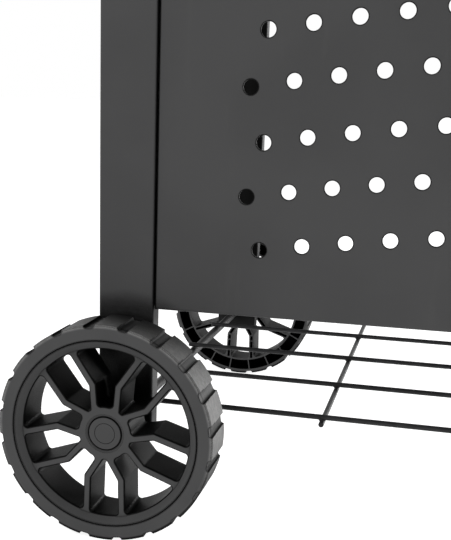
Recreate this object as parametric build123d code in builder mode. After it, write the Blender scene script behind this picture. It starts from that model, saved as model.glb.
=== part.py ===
from build123d import *
import math
import os

# A wheeled display stand: four folded steel legs, a perforated front panel, an open back, a wire
# rack near the floor, a worktop, and two moulded wheels on one axle at the left-hand end.
# X runs along the front panel, Y runs from front to back, Z is up. Millimetres.

# ---- Driving dimensions ----
# Frame
frame_width = 1077.0  # over the outer faces of the left and right legs
frame_depth = 523.0  # over the outer faces of the front and rear legs
frame_height = 840.0  # top of the legs
sheet = 1.5  # thickness of every folded sheet
leg_width = 52.5
leg_thickness = 17.5
leg_edge_radius = 2.7
leg_drop = 20.0  # how far the wheel-end legs reach below the axle

# Front panel and its rows of holes
panel_bottom = 203.6
panel_top_gap = 28.0  # from the panel's top edge to the top of the legs
panel_setback = 1.0  # behind the front faces of the legs
panel_flange = 14.0
panel_edge_radius = 2.0
panel_side_gap = 0.8
panel_corner_relief = 1.0  # the side flanges stop short of the top and bottom ones
hole_diameter = 12.8
arc_radius = 2585.0  # every row is the same shallow arch
short_row_count = 22
short_row_pitch = 37.4  # measured along the arch
short_row_crown = 293.2  # height of the lowest short row at mid-width
long_row_count = 23
long_row_pitch = 36.9
long_row_crown = 340.7  # height of the lowest long row at mid-width
row_repeat = 91.6  # from one row to the next of its kind
row_top_margin = 40.0

# Rails
rail_height = 40.0
rail_flange = 15.0
rail_gap = 0.2  # between a rail's web and the leg wall that it is screwed to
rail_end_gap = 2.0  # clears the bend inside a leg
side_rail_drop = 30.0  # from the top of the legs to the top of the side rails
rear_rail_height = 60.0

# Worktop
top_skirt = 25.0
top_gap = 0.5  # between the skirt and the legs
top_edge_radius = 2.0

# Wheels
wheel_radius = 100.0
wheel_width = 45.5
wheel_gap = 17.0  # from a leg's outer face to the wheel
wheel_wall = 2.5
tread_wall = 6.0
notch_count = 20
notch_depth = 2.9
notch_width = 9.8
notch_corner = 2.3
notch_lead = -0.8  # degrees, of the notches from the middle between two pairs of spokes
groove_inset = 14.1  # from the tread in to the middle of the groove
groove_width = 1.0
groove_depth = 0.8
dish_inset = 14.8  # from the tread in to where the face starts to slope back to the spokes
dish_slope = 6.3
dish_depth = 4.9  # spokes and hub behind the wheel's face
window_inset = 22.3  # from the tread in to the outer ends of the windows
rib_thickness = 1.6
hub_radius = 25.0
spoke_pairs = 5
spoke_width = 6.8
spoke_wall = 1.7
spoke_root_radius = 24.7
spoke_root_offset = 5.2  # of a spoke's centre line from its pair's axis, at the hub
spoke_bend_radius = 42.5
spoke_bend_offset = 16.0
spoke_tip_offset = 16.9
spoke_rib_radius = 50.7
spoke_hub_overlap = 2.5  # the windows' sides run on into the hub before it is cut round
channel_hub_gap = 3.0  # solid plastic between the hub and the hollow of a spoke
channel_bend_gap = 1.0  # and on each side of a spoke's bend
window_corner = 3.2
window_tip_corner = 1.3
window_lip = 1.6  # rounding of the windows' rims on the outer side
front_wheel_turn = -0.4  # degrees, where the front wheel came to rest
rear_wheel_turn = 0.0
tread_chamfer = 1.0
edge_search = 1.5  # how near to a radius an edge of the wheel has to lie to count as there
edge_tolerance = 0.01

# Hub, axle and what is threaded on it
axle_diameter = 9.5
running_clearance = 0.05
cap_recess = 5.1  # cap face behind the wheel face
cap_mouth_radius = 17.9
cap_mouth_depth = 1.2
cap_seat_radius = 15.7
cap_radius = 14.8
cap_thickness = 2.3
cap_dimple_radius = 9.4
cap_dimple_width = 0.6
cap_dimple_depth = 0.2
cap_skirt = 3.0
cap_skirt_wall = 1.4
cap_fit = 0.02
cap_edge_round = 0.5
nut_chamber_radius = 12.5
nut_chamber_depth = 20.0
nut_flats = 14.0
nut_height = 8.0
washer_radius = 10.0
washer_thickness = 1.5
axial_play = 0.3
axle_stub = 1.0  # axle standing out of its nut
axle_chamfer = 0.6
bush_flange_radius = 11.0
bush_flange = 2.0
bush_wall = 2.2
bush_clearance = 0.1
spacer_radius = 10.5
bracket_height = 60.0
bracket_sheet = 2.0
bracket_wing = 10.0

# Wire rack
wire_diameter = 5.0
wire_count = 5
wire_end_radius = 1.6
rack_side_gap = 14.8  # from an outer wire's centre to the inner plane of the legs
rack_axle_gap = 0.25
rack_left_overhang = 6.2  # long wires reach past the axle's centre
rack_right_gap = 4.0
cross_wire_offset = 320.5  # of the outer cross wires from the middle one
cross_wire_overhang = 9.0
cross_wire_middle = 502.0  # from the axle's centre to the middle cross wire

# Feet
foot_height = 12.0
foot_step = 6.0  # the foot is deeper than the leg, towards the inside
foot_plug = 25.0
foot_plug_gap = 0.2
foot_chamfer = 1.5
foot_plug_corner = 1.5

# Fasteners
screw_radius = 2.5
screw_hole_radius = 2.7
screw_head_radius = 4.6
screw_head_height = 2.6
screw_head_round = 1.6
screw_length = 10.0
small_nut_flats = 8.0
small_nut_height = 4.0
small_nut_gap = 0.1

# ---- Places worked out from the dimensions ----
axle_radius = axle_diameter / 2
groove_radius = wheel_radius - groove_inset
dish_radius = wheel_radius - dish_inset
dish_floor_radius = dish_radius - dish_slope
rim_radius = wheel_radius - window_inset
wire_radius = wire_diameter / 2
axle_z = wheel_radius
top_overhang = sheet + top_gap
top_corner_radius = leg_edge_radius + top_overhang
right_reach = frame_width - leg_width / 2 + top_overhang + screw_head_height
overall_width = wheel_radius + right_reach
axle_x = -overall_width / 2 + wheel_radius
frame_left = axle_x - leg_width / 2
frame_right = frame_left + frame_width
frame_middle = (frame_left + frame_right) / 2
left_leg_x = axle_x
right_leg_x = frame_right - leg_width / 2
leg_face_y = frame_depth / 2
leg_inner_y = leg_face_y - leg_thickness
wheel_face_y = leg_face_y + wheel_gap + wheel_width
panel_width = frame_width - 2 * leg_width - 2 * panel_side_gap
panel_top = frame_height - panel_top_gap
side_rail_top = frame_height - side_rail_drop
rack_z = axle_z + axle_radius + rack_axle_gap + wire_radius
lower_rail_top = rack_z - wire_radius
wire_pitch = 2 * (leg_inner_y - rack_side_gap) / (wire_count - 1)
bore_radius = axle_radius + running_clearance
bush_radius = bore_radius + bush_wall
FRONT = -1
REAR = 1
LEFT = -1
RIGHT = 1

os.makedirs("parts", exist_ok=True)


def save(piece, name):
    """Labels a finished piece and writes its STEP file."""
    piece.part.label = name
    export_step(piece.part, f"parts/{name}.step")


def facing(x, y, z, direction):
    """A plane at a point whose normal is the given direction."""
    return Plane(origin=(x, y, z), z_dir=direction)


# ---- Where the fasteners go: each is a plane on the sheet under the head, facing outwards ----
def rail_screw_planes(side, top):
    """Two screws at each end of a side rail, through the outer wall of the legs."""
    x = frame_left if side == LEFT else frame_right
    middle = top - rail_height / 2
    spread = rail_height / 4
    planes = []
    for end in (FRONT, REAR):
        y = end * (leg_face_y - leg_thickness / 2)
        for z in (middle - spread, middle + spread):
            planes.append(facing(x, y, z, (side, 0, 0)))
    return planes


def panel_screw_planes(end, heights):
    """Screws through a panel's side flanges into the inner walls of the legs."""
    inset = leg_width + panel_side_gap + sheet
    y = end * (leg_face_y - panel_setback - panel_flange / 2)
    planes = []
    for z in heights:
        planes.append(facing(frame_left + inset, y, z, (1, 0, 0)))
        planes.append(facing(frame_right - inset, y, z, (-1, 0, 0)))
    return planes


def top_screw_planes():
    """One screw through the worktop's end skirts into each leg."""
    z = frame_height - top_skirt / 2
    planes = []
    for side in (LEFT, RIGHT):
        x = (frame_left if side == LEFT else frame_right) + side * top_overhang
        for end in (FRONT, REAR):
            y = end * (leg_face_y - leg_thickness / 2)
            planes.append(facing(x, y, z, (side, 0, 0)))
    return planes


screw_margin = 60.0
rear_screw_margin = 15.0
panel_screw_heights = (
    panel_bottom + screw_margin,
    (panel_bottom + panel_top) / 2,
    panel_top - screw_margin,
)
rear_rail_bottom = panel_top - rear_rail_height
rear_screw_heights = (rear_rail_bottom + rear_screw_margin, panel_top - rear_screw_margin)
upper_left_screws = rail_screw_planes(LEFT, side_rail_top)
upper_right_screws = rail_screw_planes(RIGHT, side_rail_top)
lower_right_screws = rail_screw_planes(RIGHT, lower_rail_top)
panel_screws_at = panel_screw_planes(FRONT, panel_screw_heights)
rear_screws_at = panel_screw_planes(REAR, rear_screw_heights)
top_screws_at = top_screw_planes()
every_screw = (
    upper_left_screws
    + upper_right_screws
    + lower_right_screws
    + panel_screws_at
    + rear_screws_at
    + top_screws_at
)


def drill(planes):
    """Cuts clearance holes along the given planes' normals in the part being built."""
    with Locations(*planes):
        Cylinder(screw_hole_radius, 8 * sheet, mode=Mode.SUBTRACT)


# ---- Sheet metal ----
def leg(x, end, bottom):
    """A folded channel that opens towards the middle of the stand."""
    with BuildPart() as channel:
        with BuildSketch(Plane.XY.offset(bottom)):
            with Locations((x, end * leg_inner_y)):
                RectangleRounded(leg_width, 2 * leg_thickness, leg_edge_radius)
                RectangleRounded(
                    leg_width - 2 * sheet,
                    2 * (leg_thickness - sheet),
                    leg_edge_radius - sheet,
                    mode=Mode.SUBTRACT,
                )
            with Locations((x, end * (leg_inner_y - leg_thickness / 2))):
                Rectangle(leg_width + sheet, leg_thickness, mode=Mode.SUBTRACT)
        extrude(amount=frame_height - bottom)
        drill(every_screw)
        if x == left_leg_x:
            with Locations(facing(x, end * leg_face_y, axle_z, (0, 1, 0))):
                Cylinder(bush_radius + bush_clearance, 4 * sheet, mode=Mode.SUBTRACT)
    return channel


def folded_pan(end, bottom, height, holes=()):
    """A flat sheet between two legs, its four edges folded inwards, with any round holes in it."""
    middle_z = bottom + height / 2
    face_y = leg_face_y - panel_setback
    with BuildPart() as pan:
        with Locations((frame_middle, end * (face_y - panel_flange / 2), middle_z)):
            Box(panel_width, panel_flange, height)
        outer = pan.faces().sort_by(Axis.Y)[0 if end == FRONT else -1]
        fillet(outer.edges(), panel_edge_radius)
        with Locations((frame_middle, end * (face_y - sheet - panel_flange / 2), middle_z)):
            Box(panel_width - 2 * sheet, panel_flange, height - 2 * sheet, mode=Mode.SUBTRACT)
        drill(every_screw)
        if holes:
            with BuildSketch(Plane.XZ.offset(leg_face_y)):
                with Locations(*holes):
                    Circle(hole_diameter / 2)
            extrude(amount=-(panel_setback + 3 * sheet), mode=Mode.SUBTRACT)
    return pan


def panel_face(pan, end):
    """The flat sheet of a folded pan, up to where its flanges begin."""
    with BuildPart() as face:
        add(pan.part)
        with Locations((frame_middle, end * (leg_face_y - panel_setback - sheet / 2), 0)):
            Box(frame_width, sheet, 2 * frame_height, mode=Mode.INTERSECT)
    return face


def panel_flanges(pan, end, bottom, height):
    """The four folded flanges of a pan, which stop short of each other at its corners."""
    flange_y = end * (leg_face_y - panel_setback - sheet - panel_flange / 2)
    reach = panel_width / 2 - sheet / 2
    near = bottom + sheet + panel_corner_relief / 2
    far = bottom + height - sheet - panel_corner_relief / 2
    corners = [(frame_middle + side * reach, flange_y, z) for side in (-1, 1) for z in (near, far)]
    with BuildPart() as flanges:
        add(pan.part)
        with Locations((frame_middle, flange_y, 0)):
            Box(frame_width, panel_flange, 2 * frame_height, mode=Mode.INTERSECT)
        with Locations(*corners):
            Box(2 * sheet, panel_flange, panel_corner_relief, mode=Mode.SUBTRACT)
    return flanges


def row_of_holes(count, pitch, crown):
    """Hole centres along one shallow arch, as points in the panel's plane."""
    points = []
    for index in range(count):
        angle = (index - (count - 1) / 2) * pitch / arc_radius
        x = frame_middle + arc_radius * math.sin(angle)
        z = crown - arc_radius * (1 - math.cos(angle))
        points.append((x, z))
    return points


def panel_holes():
    """Every hole of the front panel, row by row up to its top margin."""
    points = []
    rise = 0.0
    while short_row_crown + rise <= panel_top - row_top_margin:
        points += row_of_holes(short_row_count, short_row_pitch, short_row_crown + rise)
        rise += row_repeat
    rise = 0.0
    while long_row_crown + rise <= panel_top - row_top_margin:
        points += row_of_holes(long_row_count, long_row_pitch, long_row_crown + rise)
        rise += row_repeat
    return points


def side_rail(side, top):
    """A channel from front leg to rear leg, inside them and against their outer walls."""
    length = frame_depth - 2 * sheet - 2 * rail_end_gap
    outer_x = (frame_left if side == LEFT else frame_right) - side * (sheet + rail_gap)
    with BuildPart() as rail:
        with BuildSketch(Plane.XZ.offset(-length / 2)):
            with Locations((outer_x - side * rail_flange / 2, top - rail_height / 2)):
                Rectangle(rail_flange, rail_height)
            with Locations((outer_x - side * (sheet + rail_flange / 2), top - rail_height / 2)):
                Rectangle(rail_flange, rail_height - 2 * sheet, mode=Mode.SUBTRACT)
        extrude(amount=length)
        drill(every_screw)
    return rail


def worktop():
    """A flat top whose skirt folds down outside the legs."""
    width = frame_width + 2 * top_overhang
    depth = frame_depth + 2 * top_overhang
    with BuildPart() as top:
        with BuildSketch(Plane.XY.offset(frame_height - top_skirt)):
            with Locations((frame_middle, 0)):
                RectangleRounded(width, depth, top_corner_radius)
        extrude(amount=top_skirt + sheet)
        fillet(top.faces().sort_by(Axis.Z)[-1].edges(), top_edge_radius)
        with BuildSketch(Plane.XY.offset(frame_height - top_skirt)):
            with Locations((frame_middle, 0)):
                RectangleRounded(
                    width - 2 * sheet, depth - 2 * sheet, top_corner_radius - sheet
                )
        extrude(amount=top_skirt, mode=Mode.SUBTRACT)
        drill(every_screw)
    return top


# ---- Wheels ----
def wheel_plane(end, inward=0.0, turn=0.0):
    """A plane across a wheel, a distance in from its outer face; its normal points inwards."""
    lean = math.radians(turn)
    return Plane(
        origin=(axle_x, end * (wheel_face_y - inward), axle_z),
        x_dir=(-end * math.cos(lean), 0, -end * math.sin(lean)),
        z_dir=(0, -end, 0),
    )


def strip(start, finish, width):
    """The corners of a straight strip between two points of a plane."""
    run_x = finish[0] - start[0]
    run_y = finish[1] - start[1]
    scale = width / 2 / math.hypot(run_x, run_y)
    side_x = -run_y * scale
    side_y = run_x * scale
    return (
        (start[0] + side_x, start[1] + side_y),
        (start[0] - side_x, start[1] - side_y),
        (finish[0] - side_x, finish[1] - side_y),
        (finish[0] + side_x, finish[1] + side_y),
    )


spoke_root = (spoke_root_radius, spoke_root_offset)
spoke_bend = (spoke_bend_radius, spoke_bend_offset)
spoke_tip = (rim_radius, spoke_tip_offset)


def along(start, finish, radius):
    """The point of one run of a spoke at a distance from the hub, along its pair's axis."""
    share = (radius - start[0]) / (finish[0] - start[0])
    return (radius, start[1] + share * (finish[1] - start[1]))


def spoke_side(away, reach_in, reach_out):
    """One side of a spoke as three points: its centre line moved away from its pair's axis."""
    first = Vector(*spoke_bend) - Vector(*spoke_root)
    second = Vector(*spoke_tip) - Vector(*spoke_bend)
    first = first.normalized()
    second = second.normalized()
    first_normal = Vector(-first.Y, first.X)
    second_normal = Vector(-second.Y, second.X)
    mitre = (first_normal + second_normal) / (1 + first_normal.dot(second_normal))
    points = (
        Vector(*spoke_root) + first_normal * away - first * reach_in,
        Vector(*spoke_bend) + mitre * away,
        Vector(*spoke_tip) + second_normal * away + second * reach_out,
    )
    return [(point.X, point.Y) for point in points]


def window_outlines():
    """The narrow window inside a pair of spokes and the wide one between two pairs."""
    half = spoke_width / 2
    narrow = spoke_side(-half, spoke_hub_overlap, rim_radius)
    wide = []
    turn = math.pi / spoke_pairs
    for r, offset in spoke_side(half, spoke_hub_overlap, rim_radius):
        wide.append(
            (
                r * math.cos(turn) + offset * math.sin(turn),
                r * math.sin(turn) - offset * math.cos(turn),
            )
        )
    return narrow, wide


def hub_distance(edge):
    """How far an edge's middle is from the axle's centre line."""
    return math.hypot(edge.center().X - axle_x, edge.center().Z - axle_z)


def window_rims(body, floor_y):
    """The edges round the windows where they open on the wheel's sunken outer side."""
    rims = []
    for edge in body.edges():
        flat = abs(edge.center().Y - floor_y) < edge_tolerance
        if flat and hub_radius - edge_search < hub_distance(edge) < rim_radius + window_lip / 2:
            rims.append(edge)
    return rims


def window_corners(body, nearest, furthest):
    """The edges through the wheel's thickness between two distances from the axle."""
    through = body.edges().filter_by(Axis.Y)
    return [edge for edge in through if nearest < hub_distance(edge) < furthest]


def wheel(end, turn):
    """A one-piece moulded wheel: notched tread, bent spokes in pairs, hollow from the inside."""
    face = wheel_plane(end, 0, turn)
    pocket_floor = wheel_plane(end, dish_depth + wheel_wall, turn)
    section = Plane(origin=face.origin, x_dir=(1, 0, 0), z_dir=(0, 0, -end))
    pair_axis = 90.0  # the first pair of spokes straddles the line that points down
    between_pairs = pair_axis + 180.0 / spoke_pairs
    first_notch = 180.0 / notch_count + notch_lead * end
    first_rib = 180.0 / notch_count
    narrow, wide = window_outlines()
    with BuildPart() as body:
        with BuildSketch(face):
            Circle(wheel_radius)
        extrude(amount=wheel_width)
        chamfer(body.edges().filter_by(GeomType.CIRCLE), tread_chamfer)
        tip_zone = hub_radius + spoke_width / 2
        for outline, start, tip_corner in (
            (narrow, pair_axis, window_tip_corner),
            (wide, between_pairs, window_corner),
        ):
            corners = outline + [(r, -offset) for r, offset in reversed(outline)]
            with BuildSketch(face):
                with PolarLocations(0, spoke_pairs, start_angle=start):
                    Polygon(*corners, align=None)
                Circle(rim_radius, mode=Mode.INTERSECT)
                Circle(hub_radius, mode=Mode.SUBTRACT)
            extrude(amount=wheel_width, mode=Mode.SUBTRACT)
            nearest = hub_radius - edge_search
            furthest = hub_radius + edge_search
            fillet(window_corners(body, nearest, furthest), tip_corner)
        fillet(window_corners(body, tip_zone, rim_radius + edge_search), window_corner)
        with BuildSketch(face):
            with PolarLocations(wheel_radius, notch_count, start_angle=first_notch):
                RectangleRounded(2 * notch_depth, notch_width, notch_corner)
        extrude(amount=wheel_width, mode=Mode.SUBTRACT)
        with BuildSketch(pocket_floor):
            Circle(wheel_radius - tread_wall)
            Circle(rim_radius + wheel_wall, mode=Mode.SUBTRACT)
            with PolarLocations(0, notch_count, start_angle=first_rib):
                Rectangle(
                    wheel_radius,
                    rib_thickness,
                    align=(Align.MIN, Align.CENTER),
                    mode=Mode.SUBTRACT,
                )
        extrude(amount=wheel_width, mode=Mode.SUBTRACT)
        channel = spoke_width - 2 * spoke_wall
        rib = rib_thickness / 2
        stations = [
            along(spoke_root, spoke_bend, hub_radius + channel_hub_gap),
            along(spoke_root, spoke_bend, spoke_bend_radius - channel_bend_gap),
            along(spoke_bend, spoke_tip, spoke_bend_radius + channel_bend_gap),
            along(spoke_bend, spoke_tip, spoke_rib_radius - rib),
            along(spoke_bend, spoke_tip, spoke_rib_radius + rib),
            along(spoke_bend, spoke_tip, rim_radius - spoke_wall),
        ]
        with BuildSketch(pocket_floor):
            with PolarLocations(0, spoke_pairs, start_angle=pair_axis):
                for flip in (-1, 1):
                    sided = [(r, flip * offset) for r, offset in stations]
                    for start in (0, 2, 4):
                        Polygon(*strip(sided[start], sided[start + 1], channel), align=None)
        extrude(amount=wheel_width, mode=Mode.SUBTRACT)
        with BuildSketch(face):
            Circle(groove_radius + groove_width / 2)
            Circle(groove_radius - groove_width / 2, mode=Mode.SUBTRACT)
        extrude(amount=groove_depth, mode=Mode.SUBTRACT)
        seat_depth = cap_recess + cap_thickness
        with BuildSketch(section):
            with BuildLine():
                Polyline(
                    (0, 0),
                    (dish_radius, 0),
                    (dish_floor_radius, dish_depth),
                    (cap_mouth_radius, dish_depth),
                    (cap_seat_radius, dish_depth + cap_mouth_depth),
                    (cap_seat_radius, seat_depth),
                    (nut_chamber_radius, seat_depth),
                    (nut_chamber_radius, nut_chamber_depth),
                    (bore_radius, nut_chamber_depth),
                    (bore_radius, wheel_width),
                    (0, wheel_width),
                    close=True,
                )
            make_face()
        revolve(axis=Axis(face.origin, (0, 1, 0)), mode=Mode.SUBTRACT)
        fillet(window_rims(body, end * (wheel_face_y - dish_depth)), window_lip)
    return body


def ring(end, inward, outer, inner, length):
    """A plain ring round the axle that starts a distance in from the wheel's outer face."""
    with BuildPart() as tube:
        with BuildSketch(wheel_plane(end, inward)):
            Circle(outer)
            Circle(inner, mode=Mode.SUBTRACT)
        extrude(amount=length)
    return tube


def hub_cap(end):
    """A round cap pressed into the mouth of the nut chamber."""
    skirt_radius = nut_chamber_radius - cap_fit
    with BuildPart() as cap:
        with BuildSketch(wheel_plane(end, cap_recess)):
            Circle(cap_radius)
        extrude(amount=cap_thickness)
        fillet(cap.edges(), cap_edge_round)
        with BuildSketch(wheel_plane(end, cap_recess)):
            Circle(cap_dimple_radius + cap_dimple_width / 2)
            Circle(cap_dimple_radius - cap_dimple_width / 2, mode=Mode.SUBTRACT)
        extrude(amount=cap_dimple_depth, mode=Mode.SUBTRACT)
        with BuildSketch(wheel_plane(end, cap_recess + cap_thickness)):
            Circle(skirt_radius)
            Circle(skirt_radius - cap_skirt_wall, mode=Mode.SUBTRACT)
        extrude(amount=cap_skirt)
    return cap


nut_inward = nut_chamber_depth - 2 * axial_play - washer_thickness - nut_height


def axle_nuts():
    """A lock nut at each end of the axle."""
    with BuildPart() as nuts:
        for end in (FRONT, REAR):
            with BuildSketch(wheel_plane(end, nut_inward)):
                RegularPolygon(nut_flats / 2, 6, major_radius=False)
                Circle(axle_radius + running_clearance, mode=Mode.SUBTRACT)
            extrude(amount=nut_height)
    return nuts


def axle_washers():
    """A washer under each lock nut and another on the inner side of each wheel."""
    with BuildPart() as washers:
        for end in (FRONT, REAR):
            for inward in (nut_inward + nut_height, wheel_width + axial_play):
                with BuildSketch(wheel_plane(end, inward)):
                    Circle(washer_radius)
                    Circle(axle_radius + running_clearance, mode=Mode.SUBTRACT)
                extrude(amount=washer_thickness)
    return washers


def axle():
    """A straight round bar through both wheels and the two wheel-end legs."""
    length = 2 * (wheel_face_y - nut_inward + axle_stub)
    with BuildPart() as bar:
        with Locations(facing(axle_x, 0, axle_z, (0, 1, 0))):
            Cylinder(axle_radius, length)
        chamfer(bar.edges().filter_by(GeomType.CIRCLE), axle_chamfer)
    return bar


def axle_bush(end):
    """A flanged plastic bush through the leg and the bracket behind it."""
    inward = wheel_width + wheel_gap
    with BuildPart() as bush:
        with BuildSketch(wheel_plane(end, inward - bush_flange)):
            Circle(bush_flange_radius)
        extrude(amount=bush_flange)
        with BuildSketch(wheel_plane(end, inward)):
            Circle(bush_radius)
        extrude(amount=leg_thickness)
        with BuildSketch(wheel_plane(end, inward - bush_flange)):
            Circle(bore_radius)
        extrude(amount=leg_thickness + bush_flange, mode=Mode.SUBTRACT)
    return bush


def axle_bracket(end):
    """A folded plate that closes the foot of a wheel-end leg and gives the axle a second hole."""
    width = leg_width - 2 * sheet - 2 * rail_gap
    wing_y = end * (leg_inner_y + bracket_wing / 2)
    with BuildPart() as bracket:
        with Locations((left_leg_x, wing_y, axle_z - leg_drop + bracket_height / 2)):
            Box(width, bracket_wing, bracket_height)
        with Locations(
            (left_leg_x, wing_y + end * bracket_sheet, axle_z - leg_drop + bracket_height / 2)
        ):
            Box(width - 2 * bracket_sheet, bracket_wing, bracket_height, mode=Mode.SUBTRACT)
        with Locations(facing(left_leg_x, end * leg_inner_y, axle_z, (0, 1, 0))):
            Cylinder(bush_radius + bush_clearance, 4 * bracket_sheet, mode=Mode.SUBTRACT)
    return bracket


# ---- Wire rack ----
def wire(middle, direction, length):
    """A straight round wire with softened ends."""
    with BuildPart() as rod:
        with Locations(facing(*middle, direction)):
            Cylinder(wire_radius, length)
        fillet(rod.edges().filter_by(GeomType.CIRCLE), wire_end_radius)
    return rod


# ---- Feet and fasteners ----
def foot(end):
    """A plastic foot plugged into the end of a leg at the end without wheels."""
    pad_depth = leg_thickness + foot_step
    plug_width = leg_width - 2 * sheet - 2 * foot_plug_gap
    plug_depth = leg_thickness - sheet - foot_plug_gap
    plug_y = end * (leg_inner_y + plug_depth / 2)
    with BuildPart() as pad:
        with Locations((right_leg_x, end * (leg_face_y - pad_depth / 2), foot_height / 2)):
            Box(leg_width, pad_depth, foot_height)
        fillet(pad.edges().filter_by(Axis.Z), leg_edge_radius)
        chamfer(pad.faces().sort_by(Axis.Z)[0].edges(), foot_chamfer)
        with Locations((right_leg_x, plug_y, foot_height + foot_plug / 2)):
            Box(plug_width, plug_depth, foot_plug)
        plug_corners = pad.edges().filter_by(Axis.Z).sort_by(SortBy.LENGTH)[-4:]
        fillet(plug_corners, foot_plug_corner)
    return pad


def pan_screws(planes):
    """Round-headed screws, one to each plane, as separate solids."""
    with BuildPart() as screws:
        with Locations(*planes):
            Cylinder(
                screw_head_radius,
                screw_head_height,
                align=(Align.CENTER, Align.CENTER, Align.MIN),
            )
        rims = screws.edges().filter_by(GeomType.CIRCLE)
        tops = [edge for edge in rims if is_head_top(edge, planes)]
        fillet(tops, screw_head_round)
        with Locations(*planes):
            Cylinder(
                screw_radius,
                screw_length,
                align=(Align.CENTER, Align.CENTER, Align.MAX),
            )
    return screws


def is_head_top(edge, planes):
    """True for the rim of a screw head that faces away from the sheet."""
    for plane in planes:
        tip = plane.origin + plane.z_dir * screw_head_height
        if (edge.arc_center - tip).length < edge_tolerance:
            return True
    return False


def hex_nuts(planes, grip):
    """A nut on each screw, behind sheets of the given total thickness."""
    with BuildPart() as nuts:
        for plane in planes:
            with BuildSketch(plane.offset(-grip)):
                RegularPolygon(small_nut_flats / 2, 6, major_radius=False)
                Circle(screw_radius + running_clearance, mode=Mode.SUBTRACT)
            extrude(amount=-small_nut_height)
    return nuts


# ---- Every piece ----
leg_foot_bottom = foot_height
wheel_leg_bottom = axle_z - leg_drop
save(leg(left_leg_x, FRONT, wheel_leg_bottom), "front_left_leg")
save(leg(left_leg_x, REAR, wheel_leg_bottom), "rear_left_leg")
save(leg(right_leg_x, FRONT, leg_foot_bottom), "front_right_leg")
save(leg(right_leg_x, REAR, leg_foot_bottom), "rear_right_leg")
panel_height = panel_top - panel_bottom
front_pan = folded_pan(FRONT, panel_bottom, panel_height, panel_holes())
save(panel_face(front_pan, FRONT), "front_panel")
save(panel_flanges(front_pan, FRONT, panel_bottom, panel_height), "front_panel_flanges")
save(folded_pan(REAR, rear_rail_bottom, rear_rail_height), "rear_top_rail")
save(side_rail(LEFT, side_rail_top), "left_top_rail")
save(side_rail(RIGHT, side_rail_top), "right_top_rail")
save(side_rail(RIGHT, lower_rail_top), "right_bottom_rail")
save(worktop(), "worktop")

save(wheel(FRONT, front_wheel_turn), "front_wheel")
save(wheel(REAR, rear_wheel_turn), "rear_wheel")
save(hub_cap(FRONT), "front_hub_cap")
save(hub_cap(REAR), "rear_hub_cap")
save(axle(), "axle")
save(axle_nuts(), "axle_nuts")
save(axle_washers(), "axle_washers")
spacer_start = wheel_width + axial_play + washer_thickness
spacer_length = wheel_gap - bush_flange - washer_thickness - axial_play
save(ring(FRONT, spacer_start, spacer_radius, bore_radius, spacer_length), "front_wheel_spacer")
save(ring(REAR, spacer_start, spacer_radius, bore_radius, spacer_length), "rear_wheel_spacer")
save(axle_bush(FRONT), "front_axle_bush")
save(axle_bush(REAR), "rear_axle_bush")
save(axle_bracket(FRONT), "front_axle_bracket")
save(axle_bracket(REAR), "rear_axle_bracket")

rack_left = axle_x - rack_left_overhang
rack_right = frame_right - sheet - rail_gap - rack_right_gap
for number in range(wire_count):
    wire_y = (number - (wire_count - 1) / 2) * wire_pitch
    wire_middle = ((rack_left + rack_right) / 2, wire_y, rack_z)
    save(wire(wire_middle, (1, 0, 0), rack_right - rack_left), f"rack_wire_{number + 1}")
cross_length = (wire_count - 1) * wire_pitch + 2 * cross_wire_overhang
for number in range(3):
    cross_x = axle_x + cross_wire_middle + (number - 1) * cross_wire_offset
    cross_middle = (cross_x, 0, rack_z - wire_diameter)
    save(wire(cross_middle, (0, 1, 0), cross_length), f"rack_cross_wire_{number + 1}")

save(foot(FRONT), "front_right_foot")
save(foot(REAR), "rear_right_foot")
rail_screws_at = upper_left_screws + upper_right_screws + lower_right_screws
save(pan_screws(rail_screws_at), "rail_screws")
save(pan_screws(panel_screws_at), "panel_screws")
save(pan_screws(rear_screws_at), "rear_rail_screws")
save(pan_screws(top_screws_at), "worktop_screws")
two_sheets = 2 * sheet + small_nut_gap
save(hex_nuts(rail_screws_at, two_sheets + rail_gap), "rail_nuts")
save(hex_nuts(panel_screws_at, two_sheets + panel_side_gap), "panel_nuts")
save(hex_nuts(rear_screws_at, two_sheets + panel_side_gap), "rear_rail_nuts")
save(hex_nuts(top_screws_at, two_sheets + top_gap), "worktop_nuts")
print("wire pitch", wire_pitch, "rack height", rack_z, "overall width", overall_width)
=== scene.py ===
"""Looks for a wheeled display stand with a perforated front panel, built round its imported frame.

X runs along the front panel, Y runs from the front to the open back and Z is up. Sizes given
in millimetres are multiplied by MM, because everything in the scene is in metres.
"""

import logging
import math
from dataclasses import dataclass, field
from enum import Enum
from typing import Callable, Iterable, Sequence

import bmesh
import bpy
from mathutils import Matrix, Vector


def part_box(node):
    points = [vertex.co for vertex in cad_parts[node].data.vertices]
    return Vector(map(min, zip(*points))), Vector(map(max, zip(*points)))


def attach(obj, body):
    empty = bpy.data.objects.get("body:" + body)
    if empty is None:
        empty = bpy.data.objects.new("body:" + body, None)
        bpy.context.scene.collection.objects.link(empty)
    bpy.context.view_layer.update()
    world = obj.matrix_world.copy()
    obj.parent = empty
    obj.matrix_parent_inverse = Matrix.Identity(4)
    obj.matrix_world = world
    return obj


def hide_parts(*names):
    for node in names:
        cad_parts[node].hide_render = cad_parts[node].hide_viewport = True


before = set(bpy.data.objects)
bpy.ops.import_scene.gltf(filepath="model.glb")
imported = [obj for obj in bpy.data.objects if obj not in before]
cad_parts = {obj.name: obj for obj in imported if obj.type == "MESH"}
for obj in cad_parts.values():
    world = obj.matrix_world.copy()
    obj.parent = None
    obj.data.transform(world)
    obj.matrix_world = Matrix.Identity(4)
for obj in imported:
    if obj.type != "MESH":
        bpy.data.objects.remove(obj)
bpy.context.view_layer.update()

MM = 0.001
log = logging.getLogger("stand")

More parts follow.
